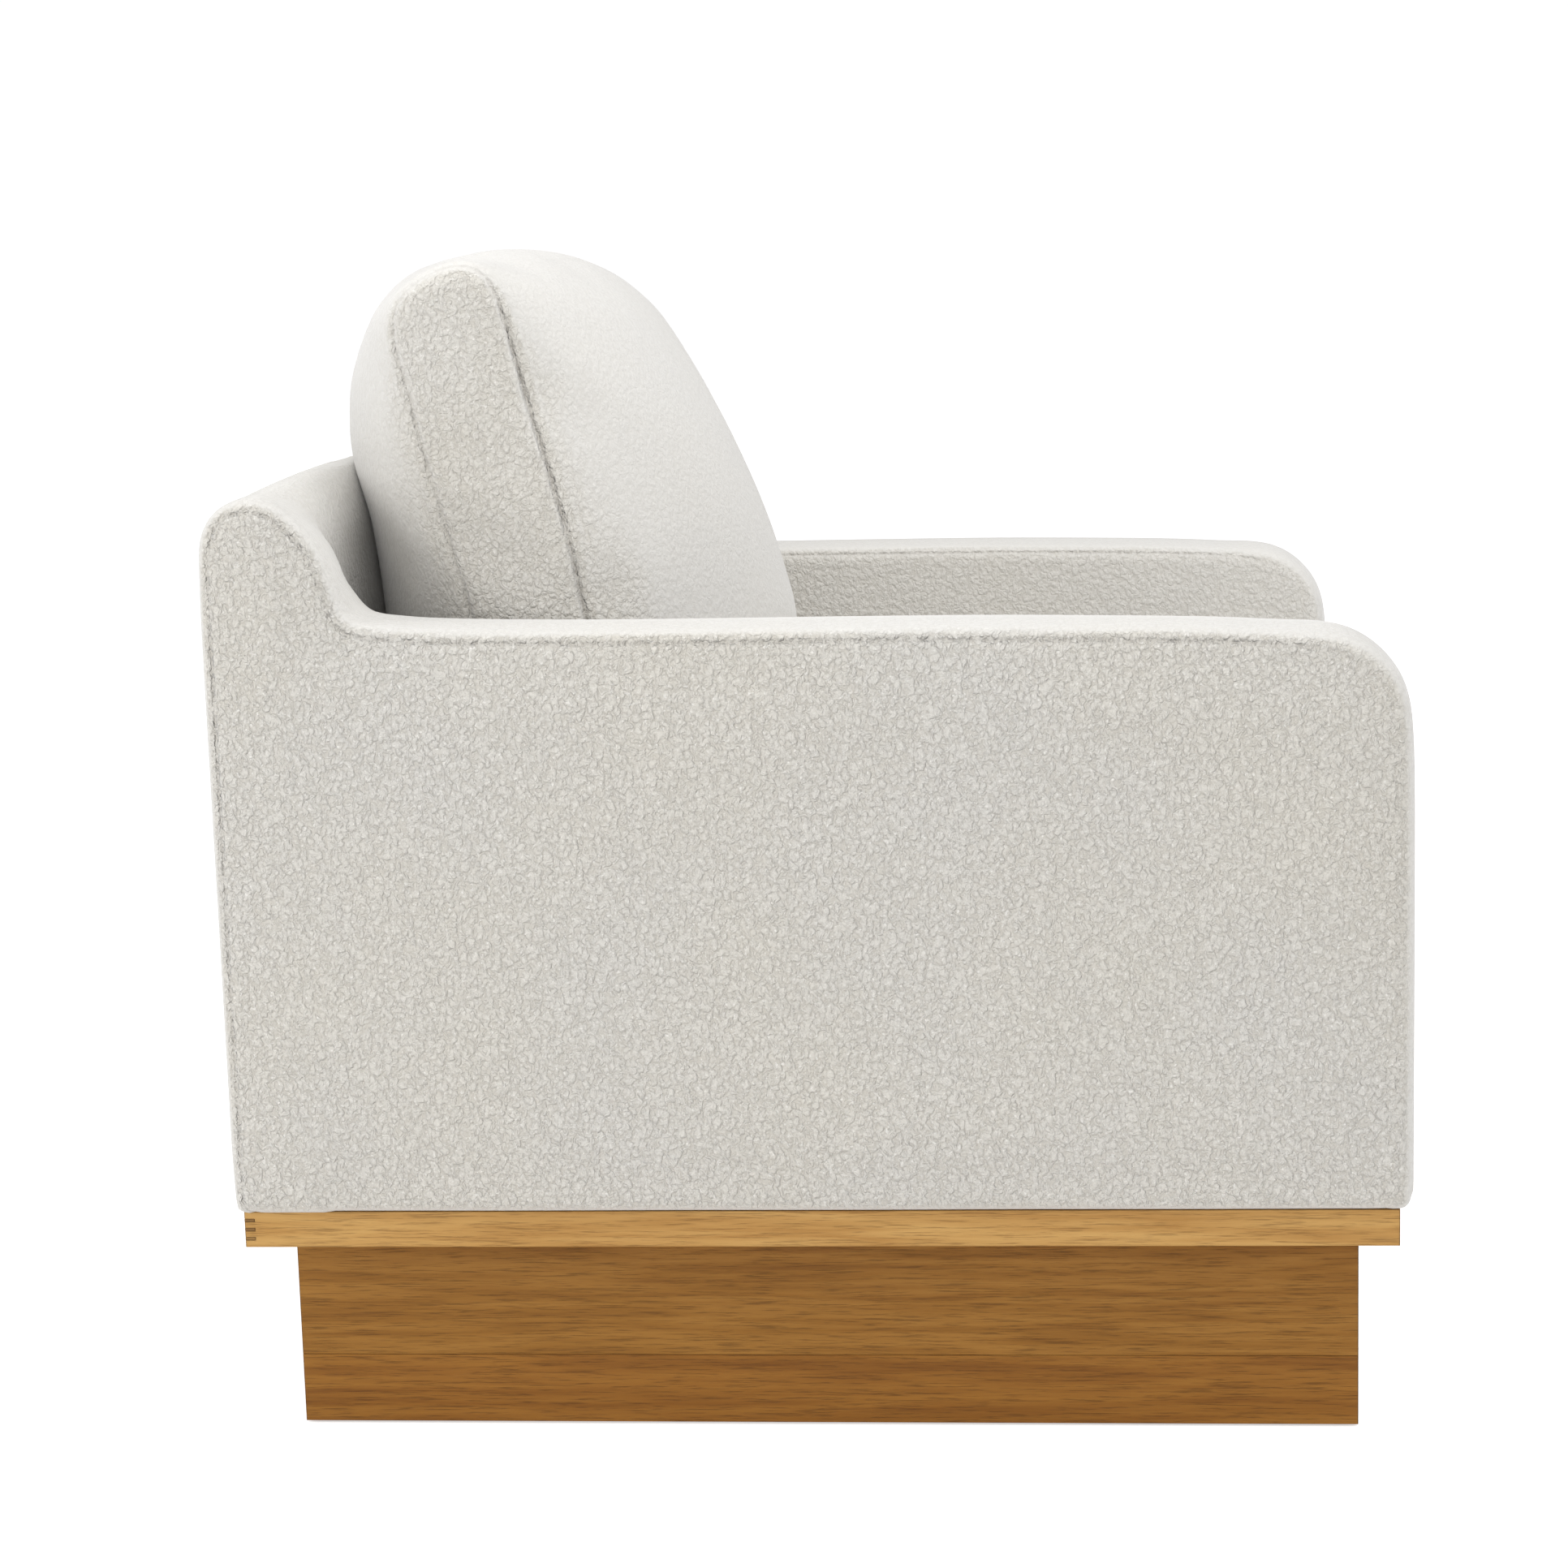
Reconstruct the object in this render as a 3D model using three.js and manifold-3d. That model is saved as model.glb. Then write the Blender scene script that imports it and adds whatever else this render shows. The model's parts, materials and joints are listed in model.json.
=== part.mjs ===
// Lounge armchair: a sherpa-covered body with loose seat and back cushions, standing on a wooden
// platform frame and a set-back plinth. Millimetres, +Z up. The sitter faces -Y, and the sitter's
// right is -X. The origin is on the floor, under the middle of the chair's box.
import * as THREE from "three";
import { mergeVertices } from "three/addons/utils/BufferGeometryUtils.js";
import Module from "manifold-3d";

const wasm = await Module();
wasm.setup();

// ---------------------------------------------------------------- driving dimensions
const CLEAR = 0.3; // gap between pieces that touch
const MITRE_SHIFT = 0.25; // how far each side of a mitre stands back from the diagonal

const glide = { radius: 14, height: 2 };
const plinth = { height: 144, thickness: 22, lowerBoard: 51, sideInset: 36, frontInset: 25, rearInset: 28 };
const cornerBlock = { size: 44 };
const platform = { sideSetback: 11, frontSetback: 10, rearSetback: 8, thickness: 26 };
const cornerKey = { leg: 7.5, height: 2, pitch: 6.8, count: 3, play: 0.3 };
const screw = { length: 62, shank: 2.2, head: 4.8, headDepth: 3.4, play: 0.3 };

const body = { width: 766, depth: 838, armThickness: 96, armTop: 587, wall: 14, edge: 12 };
const armFront = { radius: 76 };
const back = { thickness: 80, top: 700, arch: 46 };
const ear = { drop: 7, proud: 8, arch: 40, lowerRadius: 44 };

const armWood = { sideGap: 6, railHeight: 38, postDepth: 42, topDrop: 30 };
const backWood = { gap: 8, postWidth: 36, railHeight: 40, topDrop: 36 };
const seatWood = { rail: 28 };

const frontCover = { setback: 10, depth: 58, wall: 14, nose: 10 };
const deck = { top: 286, thickness: 16, springGap: 2 };
const clipStrip = { endGap: 37, depth: 20, height: 12, sheet: 1.6 };
const spring = { count: 4, sideGap: 107, wire: 2, swing: 22, halfWaves: 14, endInset: 8 };

const seat = { frontSetback: 16, frontBulge: 8, rearGap: 10, height: 155, sideGap: 3 };
const cushion = {
  height: 401,
  boxing: 88,
  lean: 0.215,
  footToBack: 168,
  frontCrown: 113,
  rearCrown: 86,
  topCrown: 13,
  sideGap: 6,
};
const cover = { wall: 5, zipWall: 12, coreGap: 3 };
const zip = { endGap: 61, groove: 8, grooveWidth: 20, slot: 6, chain: 2.4 };
const zipSlider = { length: 16, width: 9, parkGap: 2, sink: 2 };

// ---------------------------------------------------------------- levels that follow from them
const plinthTop = glide.height + plinth.height;
const platformBottom = plinthTop + CLEAR;
const platformTop = platformBottom + platform.thickness;
const bodyBottom = platformTop + CLEAR;
const bodyFront = -body.depth / 2;
const bodyRear = body.depth / 2;
const innerHalf = body.width / 2 - body.armThickness;
const backInner = bodyRear - back.thickness;
const platformHalf = body.width / 2 - platform.sideSetback;
const platformFront = bodyFront + platform.frontSetback;
const platformRear = bodyRear - platform.rearSetback;
const railWidth = plinth.sideInset + plinth.thickness + CLEAR + cornerBlock.size;
const coverFront = bodyFront + frontCover.setback;
const seatWoodTop = deck.top - deck.thickness - deck.springGap - clipStrip.height;
const seatBottom = deck.top + CLEAR;
const seatTop = seatBottom + seat.height;
const seatRear = backInner - seat.rearGap;
const seatHalf = innerHalf - seat.sideGap;
const cushionHalf = innerHalf - cushion.sideGap;
const cushionBottom = seatTop + CLEAR;
const cushionFoot = backInner - cushion.footToBack;
const zipHalf = cushionHalf - zip.endGap;

// ---------------------------------------------------------------- finishes
const finish = {
  sherpa: [0xe9e6e0, 0.95, 0],
  platformWood: [0xc8a66b, 0.5, 0],
  plinthWood: [0xb4823f, 0.5, 0],
  keyWood: [0x8a6636, 0.55, 0],
  frameWood: [0xd8c39a, 0.7, 0],
  steel: [0x9a9ca0, 0.35, 0.9],
  deckCloth: [0xb9b4aa, 0.9, 0],
  foam: [0xf0e6b8, 0.9, 0],
  zipTape: [0xd9d5cb, 0.7, 0],
  glide: [0x4a4540, 0.9, 0],
};

const chair = new THREE.Group();
chair.name = "lounge_armchair";

function place(name, geometry, look) {
  const [color, roughness, metalness] = finish[look];
  const mesh = new THREE.Mesh(geometry, new THREE.MeshStandardMaterial({ color, roughness, metalness }));
  mesh.name = name;
  chair.add(mesh);
  return mesh;
}

// ---------------------------------------------------------------- solids
const mix = (a, b, t) => a + (b - a) * t;

function closed(geometry) {
  const plain = geometry.index ? geometry.toNonIndexed() : geometry.clone();
  plain.deleteAttribute("normal");
  plain.deleteAttribute("uv");
  return mergeVertices(plain, 1e-3);
}

function solid(geometry) {
  const merged = closed(geometry);
  const vertProperties = merged.attributes.position.array;
  const triVerts = new Uint32Array(merged.index.array);
  return new wasm.Manifold(new wasm.Mesh({ numProp: 3, vertProperties, triVerts }));
}

function geometryOf(made) {
  const mesh = made.getMesh();
  const geometry = new THREE.BufferGeometry();
  geometry.setAttribute("position", new THREE.BufferAttribute(new Float32Array(mesh.vertProperties), 3));
  geometry.setIndex(new THREE.BufferAttribute(new Uint32Array(mesh.triVerts), 1));
  geometry.computeVertexNormals();
  return geometry;
}

function cut(geometry, tools) {
  return geometryOf(tools.reduce((rest, tool) => rest.subtract(solid(tool)), solid(geometry)));
}

// A box from its lowest to its highest corner.
function box([x0, y0, z0], [x1, y1, z1]) {
  const geometry = new THREE.BoxGeometry(x1 - x0, y1 - y0, z1 - z0);
  return geometry.translate((x0 + x1) / 2, (y0 + y1) / 2, (z0 + z1) / 2);
}

// A plan outline of [x, y] points raised from z0 to z1.
function raised(points, z0, z1) {
  const shape = new THREE.Shape(points.map(([x, y]) => new THREE.Vector2(x, y)));
  const geometry = new THREE.ExtrudeGeometry(shape, { depth: z1 - z0, bevelEnabled: false });
  return geometry.translate(0, 0, z0);
}

// A side outline, drawn as a Shape of (y, z), run across from x0 to x1, its edges rounded by round.
function across(shape, x0, x1, round = 0) {
  const options = {
    depth: x1 - x0 - 2 * round,
    curveSegments: 6,
    bevelEnabled: round > 0,
    bevelThickness: round,
    bevelSize: round,
    bevelOffset: -round,
    bevelSegments: 2,
  };
  const turn = new THREE.Matrix4().makeBasis(
    new THREE.Vector3(0, 1, 0),
    new THREE.Vector3(0, 0, 1),
    new THREE.Vector3(1, 0, 0),
  );
  return new THREE.ExtrudeGeometry(shape, options).applyMatrix4(turn).translate(x0 + round, 0, 0);
}

// A box of nx by ny by nz cells with each corner moved to warp(a, b, c), where a and b run from
// -1 to 1 across X and Y, and c from 0 to 1 up Z.
function warpedBox(cells, warp) {
  const geometry = new THREE.BoxGeometry(2, 2, 1, ...cells).translate(0, 0, 0.5);
  const corners = geometry.attributes.position;
  for (let i = 0; i < corners.count; i++) {
    corners.setXYZ(i, ...warp(corners.getX(i), corners.getY(i), corners.getZ(i)));
  }
  return geometry;
}

// Four boards mitred round a rectangle: from -halfX to halfX, and from y0 to y1.
function mitredFrame(halfX, y0, y1, width) {
  const s = MITRE_SHIFT;
  const side = (sign) => [
    [sign * halfX, y0 + s],
    [sign * (halfX - width), y0 + width + s],
    [sign * (halfX - width), y1 - width - s],
    [sign * halfX, y1 - s],
  ];
  const end = (y, inward) => [
    [-halfX + s, y],
    [halfX - s, y],
    [halfX - width - s, y + inward * width],
    [-halfX + width + s, y + inward * width],
  ];
  return { right: side(-1), left: side(1), front: end(y0, 1), rear: end(y1, -1) };
}

// ---------------------------------------------------------------- base
const plinthHalf = platformHalf - plinth.sideInset;
const plinthFront = platformFront + plinth.frontInset;
const plinthRear = platformRear - plinth.rearInset;
const corners = [
  ["front_right", -1, -1],
  ["front_left", 1, -1],
  ["rear_right", -1, 1],
  ["rear_left", 1, 1],
];

// A point set in from the plinth's outer corner by inset, on both sides.
function plinthCorner(sideX, sideY, inset) {
  return [sideX * (plinthHalf - inset), sideY < 0 ? plinthFront + inset : plinthRear - inset];
}

function makePlinth() {
  const outlines = mitredFrame(plinthHalf, plinthFront, plinthRear, plinth.thickness);
  const joint = glide.height + plinth.lowerBoard;
  for (const [side, outline] of Object.entries(outlines)) {
    place(`plinth_${side}_lower_board`, raised(outline, glide.height, joint), "plinthWood");
    place(`plinth_${side}_upper_board`, raised(outline, joint + CLEAR, plinthTop), "plinthWood");
  }
}

function screwProfile(play) {
  const head = screw.head + play;
  const shank = screw.shank + play;
  return [
    [0, -screw.length - play],
    [shank, -screw.length - play],
    [shank, -screw.headDepth],
    [head, 0],
    [0, 0],
  ].map(([r, z]) => new THREE.Vector2(r, z));
}

function screwAt(x, y, play) {
  const turned = new THREE.LatheGeometry(screwProfile(play), 12).rotateX(Math.PI / 2);
  return turned.translate(x, y, platformTop);
}

function screwPlace(sideX, sideY) {
  return plinthCorner(sideX, sideY, plinth.thickness + CLEAR + cornerBlock.size / 2);
}

function makeCornerPieces() {
  for (const [corner, sideX, sideY] of corners) {
    const [x, y] = screwPlace(sideX, sideY);
    const half = cornerBlock.size / 2;
    const block = box([x - half, y - half, glide.height + CLEAR], [x + half, y + half, plinthTop]);
    place(`plinth_corner_block_${corner}`, cut(block, [screwAt(x, y, screw.play)]), "frameWood");
    place(`platform_screw_${corner}`, screwAt(x, y, 0), "steel");
    const pad = new THREE.CylinderGeometry(glide.radius, glide.radius, glide.height, 20);
    place(`floor_glide_${corner}`, pad.rotateX(Math.PI / 2).translate(x, y, glide.height / 2), "glide");
  }
}

// The slip that keys a rear mitre: a right triangle with its square corner on the platform's corner.
function keyAt(sideX, level, play) {
  const x = sideX * platformHalf;
  const y = platformRear;
  const leg = cornerKey.leg + 2 * play;
  const outline = [
    [x + sideX * play, y + play],
    [x + sideX * play, y - leg],
    [x - sideX * leg, y + play],
  ];
  const half = cornerKey.height / 2 + play;
  return raised(outline, level - half, level + half);
}

function keyLevels() {
  const lowest = platformBottom + (platform.thickness - (cornerKey.count - 1) * cornerKey.pitch) / 2;
  return Array.from({ length: cornerKey.count }, (_, i) => lowest + i * cornerKey.pitch);
}

function makePlatform() {
  const outlines = mitredFrame(platformHalf, platformFront, platformRear, railWidth);
  const screws = corners.map(([, sideX, sideY]) => screwAt(...screwPlace(sideX, sideY), screw.play));
  const slots = [-1, 1].flatMap((sideX) => keyLevels().map((level) => keyAt(sideX, level, cornerKey.play)));
  for (const [side, outline] of Object.entries(outlines)) {
    const rail = raised(outline, platformBottom, platformTop);
    place(`platform_rail_${side}`, cut(rail, [...screws, ...slots]), "platformWood");
  }
  for (const [side, sideX] of [["right", -1], ["left", 1]]) {
    keyLevels().forEach((level, i) => {
      place(`rear_${side}_corner_key_${i + 1}`, keyAt(sideX, level, 0), "keyWood");
    });
  }
}

// ---------------------------------------------------------------- upholstered body
// The side outline of an arm and the ear it rises into, set in by inset all round, but not at its foot.
function armOutline(inset, foot) {
  const front = bodyFront + inset;
  const rear = bodyRear - inset;
  const top = body.armTop - inset;
  const earTop = back.top - ear.drop - inset;
  const earFront = backInner - ear.proud + inset;
  const bend = ear.lowerRadius + inset;
  const arch = (rear - earFront) / 2;
  const radius = armFront.radius - inset;
  const shape = new THREE.Shape();
  shape.moveTo(front, foot);
  shape.lineTo(rear, foot);
  shape.lineTo(rear, earTop - ear.arch);
  shape.absellipse(rear - arch, earTop - ear.arch, arch, ear.arch, 0, Math.PI, false);
  shape.lineTo(earFront, top + bend);
  shape.absarc(earFront - bend, top + bend, bend, 0, -Math.PI / 2, true);
  shape.lineTo(front + radius, top);
  shape.absarc(front + radius, top - radius, radius, Math.PI / 2, Math.PI, false);
  shape.closePath();
  return shape;
}

function makeArmCovers() {
  const hollowFoot = bodyBottom - body.wall;
  for (const [side, sideX] of [["right", -1], ["left", 1]]) {
    const [x0, x1] = [(sideX * body.width) / 2, sideX * (innerHalf + CLEAR)].sort((a, b) => a - b);
    const skin = across(armOutline(0, bodyBottom), x0, x1, body.edge);
    const hollow = across(armOutline(body.wall, hollowFoot), x0 + body.wall, x1 - body.wall);
    place(`arm_cover_${side}`, cut(skin, [hollow]), "sherpa");
  }
}

function backOutline(inset, foot) {
  const rear = bodyRear - inset;
  const inner = backInner + inset;
  const half = (rear - inner) / 2;
  const shoulder = back.top - inset - (back.arch - inset);
  const shape = new THREE.Shape();
  shape.moveTo(inner, foot);
  shape.lineTo(rear, foot);
  shape.lineTo(rear, shoulder);
  shape.absellipse(rear - half, shoulder, half, back.arch - inset, 0, Math.PI, false);
  shape.closePath();
  return shape;
}

function makeBackCover() {
  const skin = across(backOutline(0, bodyBottom), -innerHalf, innerHalf);
  const hollow = across(
    backOutline(body.wall, bodyBottom - body.wall), -innerHalf + body.wall, innerHalf - body.wall,
  );
  place("back_cover", cut(skin, [hollow]), "sherpa");
}

// The front panel and its turned-in top, an L seen from the side.
function makeFrontCover() {
  const { depth, wall, nose } = frontCover;
  const shape = new THREE.Shape();
  shape.moveTo(coverFront, bodyBottom);
  shape.lineTo(coverFront + wall, bodyBottom);
  shape.lineTo(coverFront + wall, deck.top - wall);
  shape.lineTo(coverFront + depth, deck.top - wall);
  shape.lineTo(coverFront + depth, deck.top);
  shape.lineTo(coverFront + nose, deck.top);
  shape.absarc(coverFront + nose, deck.top - nose, nose, Math.PI / 2, Math.PI, false);
  shape.closePath();
  place("front_rail_cover", across(shape, -innerHalf, innerHalf), "sherpa");
}

// ---------------------------------------------------------------- wooden frame inside
function makeArmWood() {
  const front = bodyFront + body.wall + CLEAR;
  const rear = bodyRear - body.wall - CLEAR;
  const railFoot = bodyBottom + CLEAR;
  const postFoot = railFoot + armWood.railHeight + CLEAR;
  const topFoot = body.armTop - body.wall - armWood.topDrop - armWood.railHeight;
  const halfWidth = body.armThickness / 2 - body.wall - armWood.sideGap;
  const topFront = bodyFront + armFront.radius - armWood.postDepth / 2;
  for (const [side, sideX] of [["right", -1], ["left", 1]]) {
    const middle = sideX * (innerHalf + body.armThickness / 2);
    const [x0, x1] = [middle - halfWidth, middle + halfWidth];
    const lower = box([x0, front, railFoot], [x1, rear, railFoot + armWood.railHeight]);
    const post = box([x0, front, postFoot], [x1, front + armWood.postDepth, topFoot - CLEAR]);
    const upper = box([x0, topFront, topFoot], [x1, rear, topFoot + armWood.railHeight]);
    place(`arm_bottom_rail_${side}`, lower, "frameWood");
    place(`arm_front_post_${side}`, post, "frameWood");
    place(`arm_top_rail_${side}`, upper, "frameWood");
  }
}

function makeBackWood() {
  const [y0, y1] = [backInner + body.wall + backWood.gap, bodyRear - body.wall - backWood.gap];
  const outer = innerHalf - body.wall - CLEAR;
  const railTop = back.top - backWood.topDrop;
  const railFoot = railTop - backWood.railHeight;
  for (const [side, sideX] of [["right", -1], ["left", 1]]) {
    const [x0, x1] = [sideX * outer, sideX * (outer - backWood.postWidth)].sort((a, b) => a - b);
    const post = box([x0, y0, bodyBottom + CLEAR], [x1, y1, railFoot - CLEAR]);
    place(`back_post_${side}`, post, "frameWood");
  }
  place("back_top_rail", box([-outer, y0, railFoot], [outer, y1, railTop]), "frameWood");
}

const seatRails = {
  front: coverFront + frontCover.wall + CLEAR,
  rear: backInner - CLEAR - seatWood.rail,
};

function makeSeatWood() {
  for (const [side, y] of Object.entries(seatRails)) {
    const rail = box([-innerHalf, y, bodyBottom], [innerHalf, y + seatWood.rail, seatWoodTop]);
    place(`seat_${side}_rail`, rail, "frameWood");
  }
}

// ---------------------------------------------------------------- seat suspension
// A steel channel on each seat rail, open towards the seat, that holds the spring ends.
function clipChannel(y, opening) {
  const { depth, height, sheet } = clipStrip;
  const base = seatWoodTop + CLEAR;
  const halfLength = innerHalf - clipStrip.endGap;
  const outline = [
    [0, 0],
    [depth, 0],
    [depth, sheet],
    [sheet, sheet],
    [sheet, height - sheet],
    [depth, height - sheet],
    [depth, height],
    [0, height],
  ].map(([d, z]) => new THREE.Vector2(y + opening * d, base + z));
  return across(new THREE.Shape(outline), -halfLength, halfLength);
}

function makeSprings() {
  const spread = (seatWood.rail - clipStrip.depth) / 2;
  const frontY = seatRails.front + spread;
  const rearY = seatRails.rear + seatWood.rail - spread;
  place("spring_clip_strip_front", clipChannel(frontY, 1), "steel");
  place("spring_clip_strip_rear", clipChannel(rearY, -1), "steel");
  const level = seatWoodTop + CLEAR + clipStrip.height / 2;
  const y0 = frontY + spring.endInset;
  const y1 = rearY - spring.endInset;
  const section = new THREE.Shape();
  section.absarc(0, 0, spring.wire, 0, 2 * Math.PI, false);
  for (let i = 0; i < spring.count; i++) {
    const x = mix(-1, 1, i / (spring.count - 1)) * (innerHalf - spring.sideGap);
    const bends = [];
    for (let k = 0; k <= spring.halfWaves; k++) {
      const swing = k === 0 || k === spring.halfWaves ? 0 : spring.swing * (k % 2 ? 1 : -1);
      bends.push(new THREE.Vector3(x + swing, y0 + ((y1 - y0) * k) / spring.halfWaves, level));
    }
    const wire = new THREE.ExtrudeGeometry(section, {
      steps: 4 * spring.halfWaves,
      curveSegments: 3,
      extrudePath: new THREE.CatmullRomCurve3(bends),
    });
    place(`seat_spring_${i + 1}`, wire, "steel");
  }
}

function makeDeck() {
  const front = coverFront + frontCover.depth + CLEAR;
  const foot = [-innerHalf + CLEAR, front, deck.top - deck.thickness];
  place("seat_deck_pad", box(foot, [innerHalf - CLEAR, backInner - CLEAR, deck.top]), "deckCloth");
}

// ---------------------------------------------------------------- seat cushion
// The seat cushion's form, set in by inset all round, and by rearInset at the back. Its front is crowned.
function seatForm(inset, rearInset) {
  return warpedBox([8, 1, 6], (a, b, c) => {
    const bulge = seat.frontBulge * (1 - a * a) * Math.sin(Math.PI * c);
    const y = mix(bodyFront + seat.frontSetback + inset - bulge, seatRear - rearInset, (b + 1) / 2);
    return [a * (seatHalf - inset), y, mix(seatBottom + inset, seatTop - inset, c)];
  });
}

// A bar of the zip opening along X. at(d, w) gives [y, z] at depth d into the wall and w across the bar.
function zipBar(at, depth0, depth1, halfLength, halfWidth) {
  const [y0, z0] = at(depth0, -halfWidth);
  const [y1, z1] = at(depth1, halfWidth);
  const low = [-halfLength, Math.min(y0, y1), Math.min(z0, z1)];
  return box(low, [halfLength, Math.max(y0, y1), Math.max(z0, z1)]);
}

function zipCuts(at) {
  const groove = zipBar(at, -1, zip.groove, zipHalf, zip.grooveWidth / 2);
  const slot = zipBar(at, zip.groove - 1, cover.zipWall + 1, zipHalf, zip.slot / 2);
  return [groove, slot];
}

function makeZip(prefix, at) {
  const chain = zipBar(
    at, zip.groove + CLEAR, zip.groove + CLEAR + zip.chain, zipHalf - CLEAR, zip.slot / 2 - CLEAR,
  );
  place(`${prefix}_zip_chain`, chain, "zipTape");
  const slider = zipBar(at, zipSlider.sink, zip.groove - CLEAR, zipSlider.length / 2, zipSlider.width / 2);
  const start = zipHalf - zipSlider.length / 2 - zipSlider.parkGap;
  place(`${prefix}_zip_slider`, slider.translate(start, 0, 0), "steel");
}

function makeSeatCushion() {
  const zipLevel = (seatBottom + seatTop) / 2;
  const at = (depth, along) => [seatRear - depth, zipLevel + along];
  const hollow = seatForm(cover.wall, cover.zipWall);
  place("seat_cushion_cover", cut(seatForm(0, 0), [hollow, ...zipCuts(at)]), "sherpa");
  place("seat_cushion_core", seatForm(cover.wall + cover.coreGap, cover.zipWall + cover.coreGap), "foam");
  makeZip("seat_cushion", at);
}

// ---------------------------------------------------------------- back cushion
// How full the crown is at height share s: fullest a third of the way up.
const fullness = (s) => Math.sqrt(1 - ((s - 0.35) / 0.7) ** 2);

// The back cushion's form, set in by inset all round, and by footInset at its foot. It leans back, is
// crowned in front, behind and on top, and is pressed flat where it meets the back's inner face.
function backCushionForm(inset, footInset) {
  const halfBox = cushion.boxing / 2 - inset;
  return warpedBox([10, 4, 8], (a, b, c) => {
    const x = a * (cushionHalf - inset);
    const share = Math.pow(1 - (x / cushionHalf) ** 2, 0.75);
    const middle = cushionFoot + cushion.lean * cushion.height * c;
    const narrowing = 1 - 0.45 * Math.pow(c, 8);
    const full = fullness(c) * share;
    const front = middle - halfBox * narrowing - cushion.frontCrown * full;
    const rear = middle + halfBox * narrowing + cushion.rearCrown * full;
    const y = mix(front, Math.min(rear, backInner - CLEAR - inset), (b + 1) / 2);
    const top = cushionBottom + cushion.height - inset + cushion.topCrown * share * (1 - b * b);
    return [x, y, mix(cushionBottom + footInset, top, c)];
  });
}

function makeBackCushion() {
  const at = (depth, along) => [cushionFoot + along, cushionBottom + depth];
  const hollow = backCushionForm(cover.wall, cover.zipWall);
  place("back_cushion_cover", cut(backCushionForm(0, 0), [hollow, ...zipCuts(at)]), "sherpa");
  const core = backCushionForm(cover.wall + cover.coreGap, cover.zipWall + cover.coreGap);
  place("back_cushion_core", core, "foam");
  makeZip("back_cushion", at);
}

makePlinth();
makeCornerPieces();
makePlatform();
makeArmCovers();
makeBackCover();
makeFrontCover();
makeArmWood();
makeBackWood();
makeSeatWood();
makeSprings();
makeDeck();
makeSeatCushion();
makeBackCushion();

export default chair;
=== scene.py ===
"""Looks of the lounge armchair: a sherpa body, two loose cushions, and oiled wood below."""
import json

import bpy
import numpy as np
from mathutils import Matrix, Vector


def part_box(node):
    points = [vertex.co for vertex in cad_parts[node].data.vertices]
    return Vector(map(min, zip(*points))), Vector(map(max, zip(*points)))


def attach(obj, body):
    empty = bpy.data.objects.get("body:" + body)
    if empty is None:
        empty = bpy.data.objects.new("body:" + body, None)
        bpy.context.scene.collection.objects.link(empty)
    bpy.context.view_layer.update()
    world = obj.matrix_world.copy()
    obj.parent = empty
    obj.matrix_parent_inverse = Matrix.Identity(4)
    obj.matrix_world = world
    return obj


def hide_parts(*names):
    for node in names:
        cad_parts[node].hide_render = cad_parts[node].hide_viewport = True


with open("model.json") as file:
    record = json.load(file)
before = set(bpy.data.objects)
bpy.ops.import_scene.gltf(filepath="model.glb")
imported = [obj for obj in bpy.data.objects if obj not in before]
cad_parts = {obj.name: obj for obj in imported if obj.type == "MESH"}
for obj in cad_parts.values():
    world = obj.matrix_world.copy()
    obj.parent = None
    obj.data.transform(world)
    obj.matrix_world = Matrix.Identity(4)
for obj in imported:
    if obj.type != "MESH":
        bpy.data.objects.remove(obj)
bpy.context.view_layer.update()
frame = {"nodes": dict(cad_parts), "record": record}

# ------------------------------------------------------------------ sizes, in metres
BODY_STEP = 0.0042        # spacing of the body cover's mesh
PANEL_STEP = 0.004        # spacing of the front panel's mesh
CUSHION_STEP = 0.0075     # spacing of a cushion's mesh before its last subdivision
BODY_SEAM = 0.0013        # how far a seam of the body pulls the fabric in
CUSHION_SEAM = 0.0022     # how far a seam of a cushion pulls the fabric in
SEAM_WIDTH = 0.0030       # half the width of the valley beside a seam
PLAIN = 0.05              # seam distance stored where there is no seam near

EDGE_ROUND = 0.009        # rounding between the arm's band and its side panels
SIDE_PUFF = 0.0035        # how far a side panel swells past its seam
BAND_CROWN = 0.0045       # how far the arm's band swells between its seams
FRONT_CROWN = 0.0025      # what the band swells more at the front of the arm
EAR_TWIST = 0.011         # how far the ear's band leans back towards its inner edge
BACK_RECESS = 0.011       # the padded inner face of the back, behind its stiff shell
CREST_ARCH = 0.0092       # how much lower the back's top is near its ends
BACK_END_ROUND = 0.014    # rounding of the back's two ends
REAR_INSET = 0.0032       # the back's rear face, in front of the arms' rear face
BODY_BLEND = 0.007        # rounding of the hollow where the back meets an arm
BOTTOM_ROUND = 0.010      # of the body's foot at the rear
FRONT_FOOT_ROUND = 0.005  # of the body's foot at the front
PANEL_WALL = 0.0135       # thickness of the front panel
PANEL_NOSE = 0.011        # rounding of the front panel's upper edge
PANEL_EDGE = 0.004        # rounding of its other edges

CLOTH_PRESSURE = 4.0
CLOTH_CAP = 0.024         # how far the cloth simulation may move a point
CLOTH_FRAMES = 20
CLOTH_RELAX = 14          # passes that even out the simulated movement
SEAT_CROWN = 0.013        # limit on the seat cushion's swell in front of the back cushion
SEAT_SHRINK = 0.008       # how far the seat cushion is set in before it is inflated, but for its sides
CUSHION_SHRINK = 0.004    # how far the back cushion's section is set in before it is inflated
CUSHION_HEIGHT = 0.401
CUSHION_LEAN = 0.215      # how far its middle goes back for each metre up
ZIP_DEPTH = 0.0098        # of the valley that a zip lies in
ZIP_HALF = 0.220          # half the length of that valley
CORE_INSET = 0.024        # how far a foam core lies inside the form that its cushion starts from
CORE_STEP = 0.011         # spacing of a core's mesh
NEVER_FLAT = 0.05         # least slope that a field is taken to have, squared

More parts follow.
